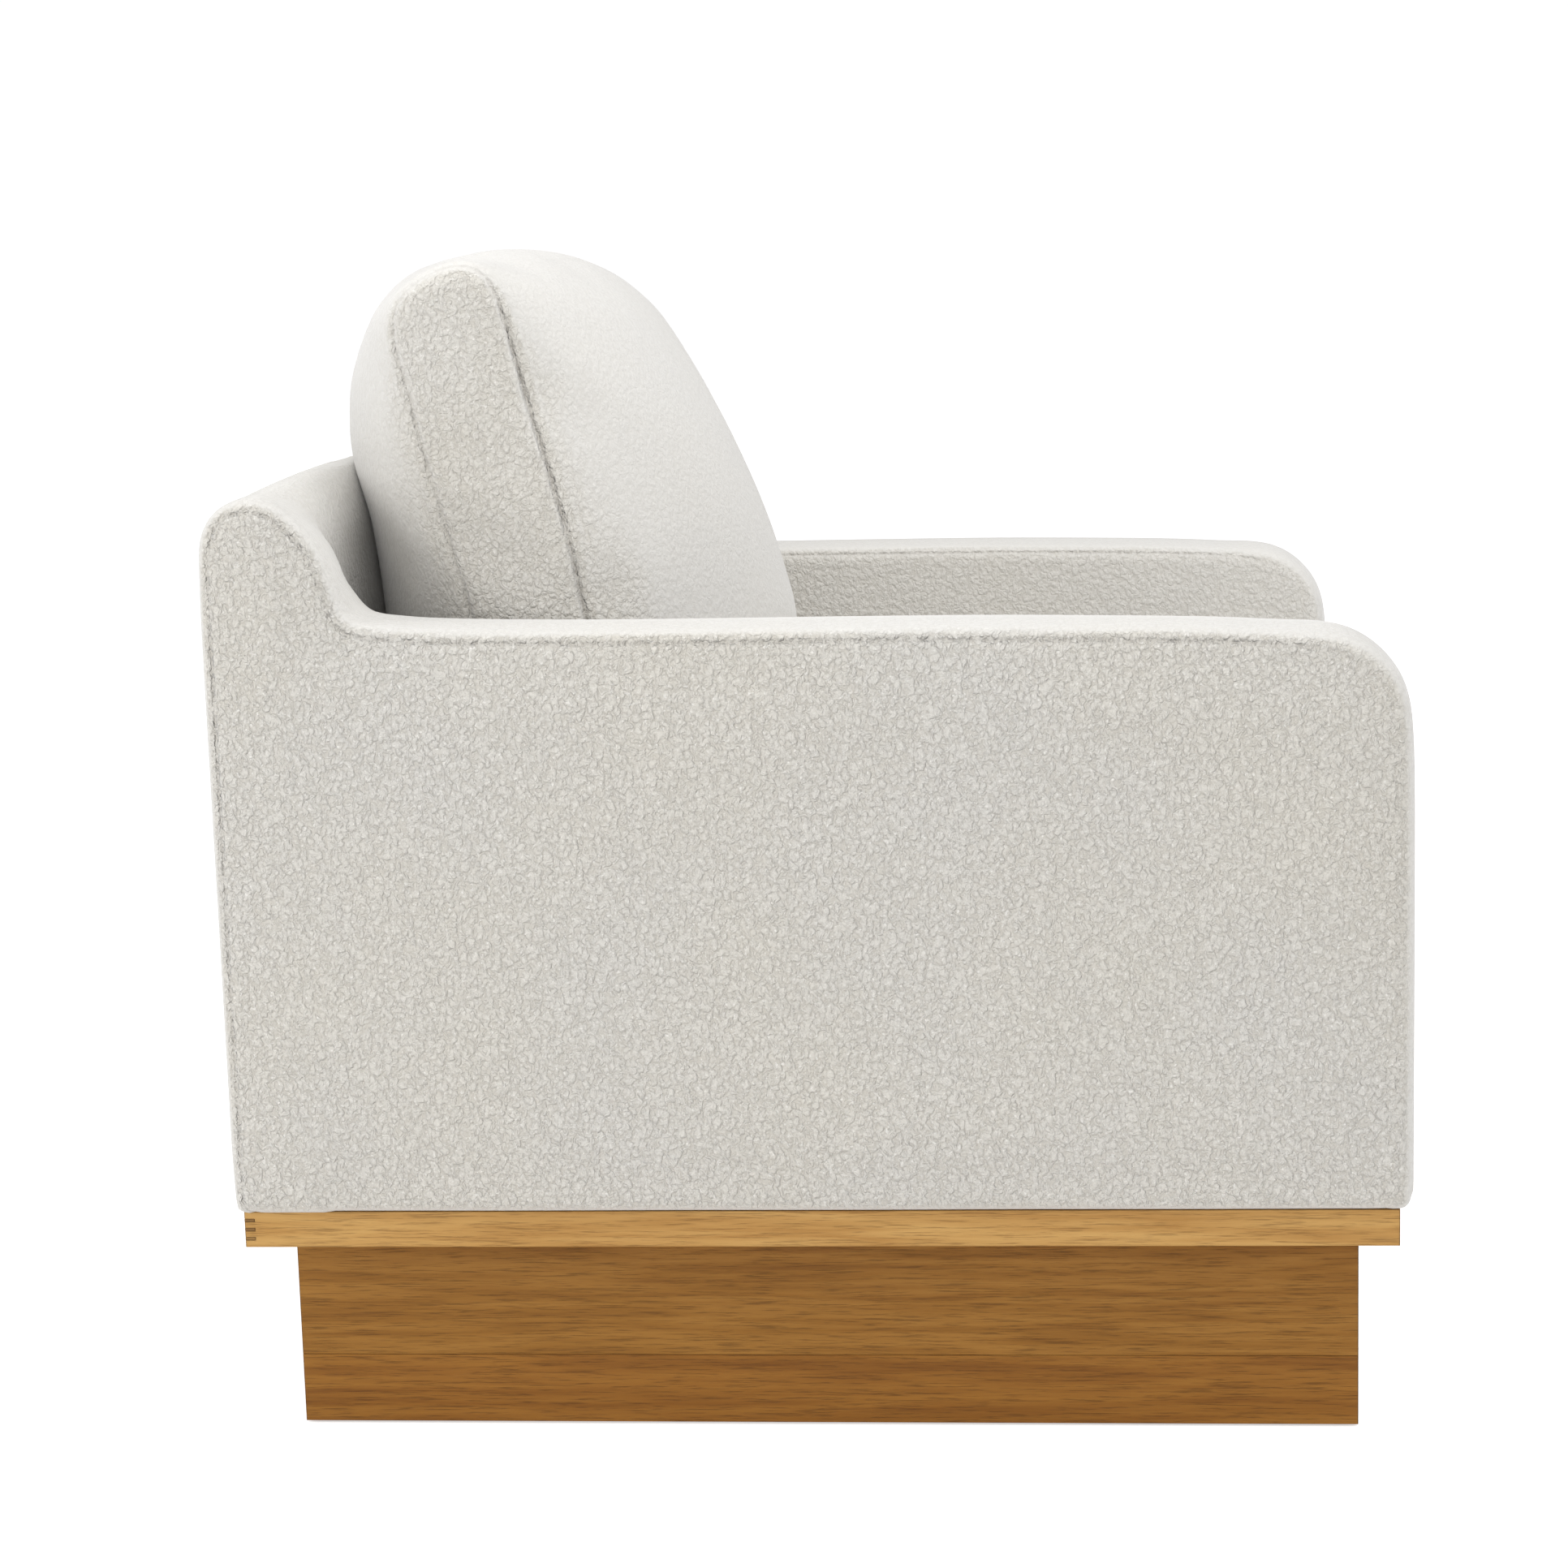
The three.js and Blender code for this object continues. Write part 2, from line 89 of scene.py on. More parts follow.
# The arm's outline at the edge of its band, as (depth, height). Depth is measured forward from the rear
# face, and height from the arm's top edge.
EAR_OUTLINE = [
    (0.0045, -0.1000), (0.0045, 0.0000), (0.0046, 0.0400), (0.0060, 0.0620), (0.0102, 0.0785),
    (0.0172, 0.0885), (0.0290, 0.0948), (0.0435, 0.0956), (0.0580, 0.0915), (0.0680, 0.0835),
    (0.0800, 0.0720), (0.0883, 0.0570), (0.0934, 0.0428), (0.0968, 0.0300), (0.1002, 0.0180),
    (0.1060, 0.0112), (0.1140, 0.0086), (0.1240, 0.0072), (0.1486, 0.0044), (0.2190, 0.0018),
    (0.2990, 0.0005), (0.4190, 0.0000), (0.5390, -0.0008), (0.6190, -0.0026), (0.7040, -0.0050),
]
# The arm's front corner, as (distance behind the front face, height from the arm's top edge).
FRONT_CORNER = [
    (0.0850, -0.0082), (0.0620, -0.0104), (0.0440, -0.0150), (0.0300, -0.0232), (0.0185, -0.0350),
    (0.0108, -0.0486), (0.0068, -0.0664), (0.0050, -0.1040), (0.0047, -0.2000), (0.0047, -0.3800),
]

arm_low, arm_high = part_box("arm_cover_right")
back_low, back_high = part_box("back_cover")
panel_low, panel_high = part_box("front_rail_cover")
seat_low, seat_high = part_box("seat_cushion_cover")
rest_low, rest_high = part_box("back_cushion_cover")

ARM_INNER = -arm_high.x                            # inner face of an arm, from the middle
ARM_OUTER = -arm_low.x
ARM_MIDDLE = (ARM_INNER + ARM_OUTER) / 2
CUSHION_FOOT = back_low.y - 0.168                  # middle of the back cushion's foot
ARM_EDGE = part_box("arm_top_rail_right")[1].z + 0.0415   # the arm's top edge, at its seam
BODY_REAR = arm_high.y
BODY_FRONT = arm_low.y
FABRIC_FOOT = arm_low.z
BACK_INNER = back_low.y + BACK_RECESS
BACK_TOP = back_high.z - 0.0075


# ------------------------------------------------------------------ outlines and fields
def clamp01(value):
    return np.clip(value, 0.0, 1.0)


def smooth01(value):
    value = clamp01(value)
    return value * value * (3 - 2 * value)


def round_max(a, b, width):
    """The larger of two fields, with the corner between them rounded over a width."""
    blend = clamp01(0.5 + 0.5 * (a - b) / width)
    return b + (a - b) * blend + width * blend * (1 - blend)


def round_min(a, b, width):
    return -round_max(-a, -b, width)


def rounded_edge(a, b, radius):
    """Inside both fields at once, with the edge between them rounded to a radius."""
    a, b = a + radius, b + radius
    return np.minimum(np.maximum(a, b), 0) + np.hypot(np.maximum(a, 0), np.maximum(b, 0)) - radius


def smooth_line(points, passes=2):
    """An open line with its corners cut, pass by pass. Its ends stay."""
    line = np.array(points, float)
    for _ in range(passes):
        near = 0.75 * line[:-1] + 0.25 * line[1:]
        far = 0.25 * line[:-1] + 0.75 * line[1:]
        cut = np.stack([near, far], 1).reshape(-1, line.shape[1])
        line = np.vstack([line[:1], cut, line[-1:]])
    return line


class Outline:
    """Signed distance to a closed outline in the Y-Z plane, kept in a fine table. Inside is negative."""

    def __init__(self, points, step=0.0015, margin=0.07):
        points = np.array(points, float)
        self.low = points.min(0) - margin
        self.step = step
        counts = np.ceil((points.max(0) + margin - self.low) / step).astype(int) + 1
        y = self.low[0] + step * np.arange(counts[0])
        z = self.low[1] + step * np.arange(counts[1])
        yy, zz = (a.ravel() for a in np.meshgrid(y, z, indexing="ij"))
        self.table = self.measure(points, yy, zz).reshape(counts)

    @staticmethod
    def measure(points, y, z):
        nearest = np.full(y.shape, 1e9)
        inside = np.zeros(y.shape, bool)
        for (y0, z0), (y1, z1) in zip(points, np.roll(points, -1, 0)):
            dy, dz = y1 - y0, z1 - z0
            share = clamp01(((y - y0) * dy + (z - z0) * dz) / max(dy * dy + dz * dz, 1e-12))
            nearest = np.minimum(nearest, (y - y0 - share * dy) ** 2 + (z - z0 - share * dz) ** 2)
            if z0 != z1:
                crosses = ((z0 > z) != (z1 > z)) & (y < dy * (z - z0) / dz + y0)
                inside ^= crosses
        return np.where(inside, -1.0, 1.0) * np.sqrt(nearest)

    def __call__(self, y, z):
        top = np.array(self.table.shape) - 1.001
        fy = np.clip((y - self.low[0]) / self.step, 0, top[0])
        fz = np.clip((z - self.low[1]) / self.step, 0, top[1])
        iy, iz = fy.astype(int), fz.astype(int)
        ty, tz = fy - iy, fz - iz
        t = self.table
        lower = t[iy, iz] * (1 - ty) + t[iy + 1, iz] * ty
        upper = t[iy, iz + 1] * (1 - ty) + t[iy + 1, iz + 1] * ty
        return lower * (1 - tz) + upper * tz


def grid_field(field, low, high, step):
    counts = np.ceil((high - low) / step).astype(int) + 1
    x, y, z = (low[i] + step * np.arange(counts[i]) for i in range(3))
    yy, zz = (a.ravel() for a in np.meshgrid(y, z, indexing="ij"))
    values = np.empty(counts)
    for i, at in enumerate(x):
        values[i] = field(np.full(yy.shape, at), yy, zz).reshape(counts[1:])
    return values


def surface_net(field, low, high, step):
    """The zero surface of a field as points and quads that face out."""
    low, high = np.array(low, float), np.array(high, float)
    values = grid_field(field, low, high, step)
    cells = np.array(values.shape) - 1
    rings, spots = [], []
    for axis in range(3):
        below = np.take(values, range(values.shape[axis] - 1), axis)
        above = np.take(values, range(1, values.shape[axis]), axis)
        at = np.argwhere((below < 0) != (above < 0))
        f0, f1 = below[tuple(at.T)], above[tuple(at.T)]
        spot = low + step * at
        spot[:, axis] += step * f0 / (f0 - f1)
        u, v = (axis + 1) % 3, (axis + 2) % 3
        ring = []
        for du, dv in ((0, 0), (1, 0), (1, 1), (0, 1)):
            cell = at.copy()
            cell[:, u] -= du
            cell[:, v] -= dv
            ring.append(np.ravel_multi_index(cell.T, cells))
        ring = np.stack(ring, 1)
        ring[f0 >= 0] = ring[f0 >= 0][:, ::-1]
        rings.append(ring)
        spots.append(spot)
    rings, spots = np.vstack(rings), np.vstack(spots)
    used, quads = np.unique(rings, return_inverse=True)
    quads = quads.reshape(rings.shape)
    points = np.stack([
        np.bincount(quads.ravel(), np.repeat(spots[:, i], 4), len(used)) for i in range(3)
    ], 1) / np.bincount(quads.ravel(), minlength=len(used))[:, None]
    return settle(field, points, step), quads


def slope(field, points, reach=0.0006):
    """The field's value and its slope at each point."""
    value = field(*points.T)
    steps = np.eye(3) * reach
    grad = np.stack([
        (field(*(points + s).T) - field(*(points - s).T)) / (2 * reach) for s in steps
    ], 1)
    return value, grad


def settle(field, points, step, passes=3):
    """Moves points along the field's slope onto its zero surface."""
    for _ in range(passes):
        value, grad = slope(field, points)
        size = np.maximum((grad ** 2).sum(1), NEVER_FLAT)
        move = -(value / size)[:, None] * grad
        length = np.linalg.norm(move, axis=1, keepdims=True)
        points = points + move * np.minimum(1, 0.6 * step / np.maximum(length, 1e-9))
    return points


def build_mesh(name, points, faces):
    mesh = bpy.data.meshes.new(name)
    mesh.vertices.add(len(points))
    mesh.vertices.foreach_set("co", points.astype(np.float32).ravel())
    mesh.loops.add(faces.size)
    mesh.loops.foreach_set("vertex_index", faces.astype(np.int32).ravel())
    mesh.polygons.add(len(faces))
    mesh.polygons.foreach_set("loop_start", np.arange(len(faces), dtype=np.int32) * 4)
    mesh.update(calc_edges=True)
    mesh.validate()
    mesh.polygons.foreach_set("use_smooth", np.ones(len(mesh.polygons), bool))
    obj = bpy.data.objects.new(name, mesh)
    bpy.context.scene.collection.objects.link(obj)
    return obj


def read_points(mesh):
    co = np.empty(len(mesh.vertices) * 3, np.float32)
    mesh.vertices.foreach_get("co", co)
    return co.reshape(-1, 3).astype(float)


def write_points(mesh, points):
    mesh.vertices.foreach_set("co", points.astype(np.float32).ravel())
    mesh.update()


def store(mesh, name, values):
    layer = mesh.attributes.get(name) or mesh.attributes.new(name, "FLOAT", "POINT")
    layer.data.foreach_set("value", values.astype(np.float32))


def read_store(mesh, name):
    values = np.empty(len(mesh.vertices), np.float32)
    mesh.attributes[name].data.foreach_get("value", values)
    return values.astype(float)


def seam_relief(seam, depth):
    """Height of the fabric at a signed distance from a seam: a valley, and a soft roll on its far side."""
    valley = np.exp(-(seam / SEAM_WIDTH) ** 2)
    roll = np.exp(-((seam + 2.2 * SEAM_WIDTH) / (1.6 * SEAM_WIDTH)) ** 2)
    return depth * (0.45 * roll - valley)


def lumps(x, y, z):
    """Slow unevenness of hand-laid wadding, from minus one to one."""
    return (
        np.sin(23 * x + 9 * y + 1.7) * np.sin(17 * y - 12 * z + 0.4)
        + np.sin(31 * z + 14 * x - 0.9) * np.sin(27 * y + 8 * x + 2.1)
    ) / 2


# ------------------------------------------------------------------ body cover: arms and back in one skin
def arm_outline(foot):
    ear = [(BODY_REAR - d, ARM_EDGE + h) for d, h in EAR_OUTLINE]
    corner = [(BODY_FRONT + d, ARM_EDGE + h) for d, h in FRONT_CORNER]
    line = smooth_line(ear + corner)
    front, rear = line[-1][0], line[0][0]
    near, far = FRONT_FOOT_ROUND, BOTTOM_ROUND
    turn = np.linspace(0, np.pi / 2, 7)
    low_front = [(front + near - near * np.cos(a), foot + near - near * np.sin(a)) for a in turn]
    low_rear = [(rear - far + far * np.sin(a), foot + far - far * np.cos(a)) for a in turn]
    return np.vstack([line, low_front, low_rear])


def back_outline():
    """The back's section: a straight inner face, a soft bullnose, and a straight rear face."""
    crest, inner_drop, rear_drop = BODY_REAR - 0.041, 0.044, 0.035
    rear = BODY_REAR - REAR_INSET
    turn = np.linspace(0, np.pi / 2, 14)
    inner = [
        (crest - (crest - BACK_INNER) * np.cos(a), BACK_TOP - inner_drop * (1 - np.sin(a)))
        for a in turn
    ]
    outer = [
        (crest + (rear - crest) * np.sin(a), BACK_TOP - rear_drop * (1 - np.cos(a))) for a in turn[1:]
    ]
    foot = [(rear, FABRIC_FOOT + 0.0005), (BACK_INNER, FABRIC_FOOT + 0.0005)]
    return np.array(inner + outer + foot)


arm_edge = Outline(arm_outline(FABRIC_FOOT + 0.0005))
arm_seams = Outline(arm_outline(FABRIC_FOOT - 0.06), margin=0.03)
back_edge = Outline(back_outline())


def arm_section(across, y, z):
    """Distance to the arm's outline, with the band's crown and the ear's twist in it."""
    side = clamp01((across - ARM_INNER) / (ARM_OUTER - ARM_INNER))
    at_front = smooth01((0.10 - (y - BODY_FRONT)) / 0.06)
    at_ear = smooth01((z - ARM_EDGE - 0.006) / 0.035) * smooth01((y - BODY_REAR + 0.16) / 0.03)
    above_foot = smooth01((z - FABRIC_FOOT) / (0.05 - 0.038 * at_front))
    crown = (BAND_CROWN + FRONT_CROWN * at_front) * (1 - (2 * side - 1) ** 2) * above_foot
    return arm_edge(y, z) - crown + EAR_TWIST * (1 - side) ** 1.3 * at_ear


def arm_field(x, y, z):
    across = np.abs(x)
    section = arm_section(across, y, z)
    puff = SIDE_PUFF * smooth01(-arm_edge(y, z) / 0.06)
    outer = across - (ARM_OUTER - SIDE_PUFF + puff + 0.0006 * lumps(x, y, z))
    inner = ARM_INNER + 0.0004 - across
    side = np.maximum(outer, inner)
    return rounded_edge(section, side, EDGE_ROUND)


def back_field(x, y, z):
    across = np.abs(x)
    arch = CREST_ARCH * (across / 0.35) ** 2 * clamp01((z - FABRIC_FOOT) / 0.5)
    swell = 0.0025 * (1 - (across / ARM_OUTER) ** 2) * smooth01((z - FABRIC_FOOT) / 0.06)
    section = back_edge(y, z + arch) - swell * (z < BACK_TOP)
    end = across - (ARM_OUTER - 0.0035)
    return rounded_edge(section, end, BACK_END_ROUND)


def body_seam(x, y, z):
    """Signed distance from the nearest seam of the body: positive on a side panel, negative on the band."""
    across = np.abs(x)
    inset = 0.0035 + 0.0030 * smooth01((0.10 - (y - BODY_FRONT)) / 0.06)
    on_panel = -arm_seams(y, z) - inset
    outer = on_panel - np.maximum(ARM_OUTER - 0.0015 - across, 0)
    inner = on_panel - np.maximum(across - ARM_INNER - 0.0015, 0)
    covered = smooth01((0.011 - back_field(x, y, z)) / 0.008)
    inner = inner * (1 - covered) + PLAIN * covered
    seam = np.where(across > ARM_MIDDLE, outer, inner)
    return np.where(across < ARM_INNER - 0.004, PLAIN, seam)


def body_stitch(x, y, z):
    """How sharply the body's seams are drawn: softer round the front of the arm."""
    return 1 - 0.75 * smooth01((0.13 - (y - BODY_FRONT)) / 0.10)


def body_field(x, y, z):
    both = round_min(arm_field(x, y, z), back_field(x, y, z), BODY_BLEND)
    return both - seam_relief(body_seam(x, y, z), BODY_SEAM * body_stitch(x, y, z))


def make_body_cover():
    margin = 0.012
    low = (-ARM_OUTER - margin, BODY_FRONT - margin, FABRIC_FOOT - margin)
    high = (ARM_OUTER + margin, BODY_REAR + margin, BACK_TOP + margin)
    points, quads = surface_net(body_field, low, high, BODY_STEP)
    obj = build_mesh("body_cover", points, quads)
    places = read_points(obj.data).T
    store(obj.data, "seam", body_seam(*places))
    store(obj.data, "stitch", 0.55 * body_stitch(*places))
    brush(obj, 0.38, 1.00)
    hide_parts("arm_cover_right", "arm_cover_left", "back_cover")
    return obj


# ------------------------------------------------------------------ front panel under the seat
def make_front_panel():
    """The padded panel that closes the seat in front: a face, a soft nose and a shelf that goes back."""
    low, high = panel_low, panel_high
    wall, nose = PANEL_WALL, PANEL_NOSE
    turn = np.linspace(0, np.pi / 2, 9)
    rounded = [
        (low.y + nose - nose * np.cos(a), high.z - nose + nose * np.sin(a)) for a in turn
    ]
    rest = [(high.y, high.z), (high.y, high.z - wall), (low.y + wall, high.z - wall),
            (low.y + wall, low.z), (low.y, low.z)]
    section = Outline(np.array(rounded + rest), margin=0.03)
    half = high.x - 0.0003
    seam_level = high.z - 0.024

    def seam(x, y, z):
        return np.where(y < low.y + 0.006, seam_level - z, PLAIN)

    def field(x, y, z):
        face = (y < low.y + 0.02) * smooth01((seam_level - z) / 0.04) * smooth01((z - low.z) / 0.04)
        edge = rounded_edge(section(y, z) - 0.0022 * face, np.abs(x) - half, PANEL_EDGE)
        return edge - seam_relief(seam(x, y, z), BODY_SEAM)

    margin = np.array([0.012] * 3)
    points, quads = surface_net(field, np.array(low) - margin, np.array(high) + margin, PANEL_STEP)
    obj = build_mesh("front_panel", points, quads)
    store(obj.data, "seam", seam(*read_points(obj.data).T))
    store(obj.data, "stitch", np.full(len(obj.data.vertices), 0.35))
    brush(obj, 0.90, 0.90)
    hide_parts("front_rail_cover")
    return obj


# ------------------------------------------------------------------ cushions
def inflate(obj):
    """Blows the closed skin up with Cloth, and caps and evens out how far its points move."""
    mesh = obj.data
    rest = read_points(mesh)
    cloth = obj.modifiers.new("cloth", "CLOTH")
    fabric = cloth.settings
    fabric.quality = 6
    fabric.mass = 0.25
    fabric.tension_stiffness = 22
    fabric.compression_stiffness = 18
    fabric.shear_stiffness = 12
    fabric.bending_stiffness = 1.5
    fabric.use_pressure = True
    fabric.uniform_pressure_force = CLOTH_PRESSURE
    fabric.effector_weights.gravity = 0
    cloth.collision_settings.use_collision = False
    cloth.point_cache.frame_start = 1
    cloth.point_cache.frame_end = CLOTH_FRAMES
    for number in range(1, CLOTH_FRAMES + 1):
        bpy.context.scene.frame_set(number)
    posed = obj.evaluated_get(bpy.context.evaluated_depsgraph_get())
    move = read_points(posed.data) - rest
    obj.modifiers.remove(cloth)
    bpy.context.scene.frame_set(1)
    length = np.linalg.norm(move, axis=1, keepdims=True)
    move *= np.minimum(1, CLOTH_CAP / np.maximum(length, 1e-9))
    write_points(mesh, rest + relax(mesh, move, CLOTH_RELAX))


def relax(mesh, values, passes):
    """Averages each point's value with its neighbours', pass by pass."""
    ends = np.empty(len(mesh.edges) * 2, np.int32)
    mesh.edges.foreach_get("vertices", ends)
    a, b = ends.reshape(-1, 2).T
    total = len(mesh.vertices)
    count = np.bincount(ends, minlength=total)[:, None]
    for _ in range(passes):
        around = np.stack([
            np.bincount(a, v[b], total) + np.bincount(b, v[a], total) for v in values.T
        ], 1)
        values = (values + around / count) / 2
    return values


def subdivide(obj):
    """One level of subdivision, kept in the mesh."""
    modifier = obj.modifiers.new("finer", "SUBSURF")
    modifier.levels = modifier.render_levels = 1
    mesh = bpy.data.meshes.new_from_object(obj.evaluated_get(bpy.context.evaluated_depsgraph_get()))
    obj.modifiers.clear()
    old, obj.data = obj.data, mesh
    mesh.name = old.name
    bpy.data.meshes.remove(old)
    mesh.polygons.foreach_set("use_smooth", np.ones(len(mesh.polygons), bool))


def press(value, limit, soft):
    """Keeps a coordinate under a limit, easing into it over a soft distance."""
    over = value - (limit - soft)
    eased = limit - soft + soft * (1 - np.exp(-np.maximum(over, 0) / soft))
    return np.where(over > 0, eased, value)


def point_normals(mesh):
    normals = np.empty(len(mesh.vertices) * 3, np.float32)
    mesh.vertices.foreach_get("normal", normals)
    return normals.reshape(-1, 3).astype(float)


def brush(obj, on_faces, on_sides):
    """Stores how curly the pile is: brushed flatter on the faces than on the side panels. The pile material
    also scales its painted crease shade and painted glints by it, and gives the flatter faces a painted
    highlight tone.
    """
    toward = point_normals(obj.data)[:, 0]
    inward = toward * read_points(obj.data)[:, 0] < 0
    curl = on_faces + (on_sides - on_faces) * smooth01((np.abs(toward) - 0.62) / 0.33)
    curl = np.where(inward, 0.62 * curl, curl)
    store(obj.data, "curl", curl)


def carve(obj):
    """Pulls the fabric in along its seams."""
    mesh = obj.data
    stitch = read_store(mesh, "stitch")
    relief = seam_relief(read_store(mesh, "seam"), CUSHION_SEAM * stitch)
    write_points(mesh, read_points(mesh) + relief[:, None] * point_normals(mesh))


def zip_valley(across, along):
    """Share of the zip valley's depth at a distance across it and along it."""
    beside = smooth01((np.abs(across) - 0.007) / 0.006)
    past_end = smooth01((np.abs(along) - ZIP_HALF) / 0.008)
    return (1 - beside) * (1 - past_end)


def make_core(name, field, low, high, stands_for):
    """The foam block inside a cushion: the cushion's own form, set in all round."""
    def inner(x, y, z):
        return field(x, y, z) + CORE_INSET

    points, quads = surface_net(inner, low, high, CORE_STEP)
    core = build_mesh(name, points, quads)
    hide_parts(stands_for)
    return core


def make_seat_cushion():
    low, high = seat_low, seat_high
    middle, half_x = (low + high) / 2, high.x - 0.001
    shrink = SEAT_SHRINK
    half_z = (high.z - low.z) / 2 + 0.003 - shrink
    front, rear = low.y - 0.004 + shrink, high.y + 0.004 - shrink
    inset = 0.010

    def seam(x, y, z):
        level = half_z - inset - np.abs(z - middle.z)
        wall = np.minimum(np.minimum(half_x - np.abs(x), y - front), rear - y)
        return level - np.maximum(wall - 0.003, 0)

    def field(x, y, z):
        sides = round_max(np.abs(x) - half_x, np.maximum(front - y, y - rear), 0.075)
        return round_max(sides, np.abs(z - middle.z) - half_z + 0.004, 0.030)

    margin = np.array([0.02] * 3)
    points, quads = surface_net(field, np.array(low) - margin, np.array(high) + margin, CUSHION_STEP)
    obj = build_mesh("seat_cushion", points, quads)
    store(obj.data, "seam", seam(*read_points(obj.data).T))
    store(obj.data, "stitch", np.full(len(obj.data.vertices), 0.8))
    inflate(obj)
    subdivide(obj)
    p = read_points(obj.data)
    covered = smooth01((p[:, 1] + 0.085) / 0.10)
    roof = high.z - 0.0002 + SEAT_CROWN * (1 - covered)
    p[:, 2] = press(p[:, 2], roof, 0.010)
    p[:, 2] = -press(-p[:, 2], -(low.z + 0.0002), 0.006)
    p[:, 0] = np.sign(p[:, 0]) * press(np.abs(p[:, 0]), ARM_INNER - 0.0004, 0.005)
    p[:, 1] = press(p[:, 1], high.y + 0.004, 0.006)
    p[:, 1] = -press(-p[:, 1], -(low.y - 0.006), 0.008)
    valley = zip_valley(p[:, 2] - middle.z, p[:, 0])
    zip_bed = high.y + 0.004 - (0.004 + ZIP_DEPTH) * valley
    p[:, 1] = np.where(p[:, 1] > high.y - 0.03, np.minimum(p[:, 1], zip_bed), p[:, 1])
    write_points(obj.data, p)
    carve(obj)
    brush(obj, 0.60, 0.80)
    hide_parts("seat_cushion_cover")
    core = make_core("seat_cushion_foam", field, np.array(low) - margin, np.array(high) + margin,
                     "seat_cushion_core")
    return obj, core


# Outlines of the back cushion as (distance in front of the back's inner face, height over its foot):
# the side panel that is sewn in at each end, and the section half way along, which is the fullest.
GUSSET = [
    (0.233, -0.080), (0.213, 0.000), (0.195, 0.072), (0.177, 0.144), (0.166, 0.200), (0.153, 0.256),
    (0.141, 0.308), (0.130, 0.350), (0.122, 0.382), (0.112, 0.3975), (0.098, 0.4025), (0.082, 0.4000),
    (0.062, 0.3900), (0.048, 0.3760), (0.043, 0.3560), (0.051, 0.3170), (0.062, 0.264), (0.074, 0.208),
    (0.089, 0.148), (0.107, 0.074), (0.1245, 0.000), (0.145, -0.080),
]
FULL_SECTION = [
    (0.299, -0.080), (0.301, 0.000), (0.302, 0.050), (0.300, 0.090), (0.294, 0.120), (0.279, 0.1870),
    (0.255, 0.2500), (0.2315, 0.3000), (0.2090, 0.3405), (0.187, 0.3745), (0.165, 0.3975), (0.139, 0.4110),
    (0.113, 0.4165), (0.084, 0.4168), (0.050, 0.4104), (0.025, 0.4004), (0.000, 0.3824),
    (-0.013, 0.3614), (-0.0238, 0.3384), (-0.0318, 0.3164), (-0.0350, 0.2914), (-0.0352, 0.2600),
    (-0.0270, 0.2260), (-0.0140, 0.1900), (-0.0110, 0.1000), (-0.0080, 0.0000), (-0.002, -0.080),
]


def cushion_outline(points, bottom):
    return Outline(smooth_line([(back_low.y - d, bottom + h) for d, h in points]), margin=0.12)


def keep_off(points, field, gap, passes=3):
    """Pushes points out of a solid's field until they are a gap away from it."""
    for _ in range(passes):
        value, grad = slope(field, points)
        size = np.maximum((grad ** 2).sum(1), NEVER_FLAT)
        deep = np.maximum(gap - value, 0)
        points = points + (deep / size)[:, None] * grad
    return points


def make_back_cushion():
    low, high = rest_low, rest_high
    bottom, half = low.z, high.x - 0.003
    gusset = cushion_outline(GUSSET, bottom)
    full = cushion_outline(FULL_SECTION, bottom)
    shrink = CUSHION_SHRINK

    def seam(x, y, z):
        return -gusset(y, z) - np.maximum(half - 0.005 - np.abs(x), 0)

    def field(x, y, z):
        share = np.power(np.maximum(1 - (x / half) ** 2, 1e-4), 0.75)
        section = gusset(y, z) * (1 - share) + full(y, z) * share + shrink * share ** 0.5
        sides = round_max(section, np.abs(x) - half + 0.4 * shrink, 0.016)
        return round_max(sides, bottom - z, 0.016)

    margin = np.array([0.06] * 3)
    points, quads = surface_net(field, np.array(low) - margin, np.array(high) + margin, CUSHION_STEP)
    obj = build_mesh("back_cushion", points, quads)
    x, y, z = read_points(obj.data).T
    store(obj.data, "seam", seam(x, y, z))
    rising = clamp01((z - bottom) / CUSHION_HEIGHT)
    in_front = smooth01((CUSHION_FOOT + CUSHION_LEAN * CUSHION_HEIGHT * rising - y) / 0.03 + 0.5)
    store(obj.data, "stitch", (0.50 + 0.50 * in_front) * (1 - 0.65 * smooth01((rising - 0.88) / 0.1)))
    inflate(obj)
    subdivide(obj)
    p = read_points(obj.data)
    p[:, 2] = -press(-p[:, 2], -(bottom + 0.0002), 0.008)
    p[:, 0] = np.sign(p[:, 0]) * press(np.abs(p[:, 0]), high.x + 0.0018, 0.005)
    p = keep_off(p, back_field, 0.0015)
    p = keep_off(p, arm_field, 0.0008)
    valley = zip_valley(p[:, 1] - CUSHION_FOOT, p[:, 0])
    zip_bed = bottom + ZIP_DEPTH * valley
    p[:, 2] = np.where(p[:, 2] < bottom + 0.03, np.maximum(p[:, 2], zip_bed), p[:, 2])
    write_points(obj.data, p)
    carve(obj)
    brush(obj, 0.30, 0.88)
    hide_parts("back_cushion_cover")

    def clear_of_back(x, y, z):
        return np.maximum(np.maximum(field(x, y, z), -back_field(x, y, z)), bottom + 0.006 - z)

    core = make_core("back_cushion_foam", clear_of_back, np.array(low) - margin, np.array(high) + margin,
                     "back_cushion_core")
    return obj, core


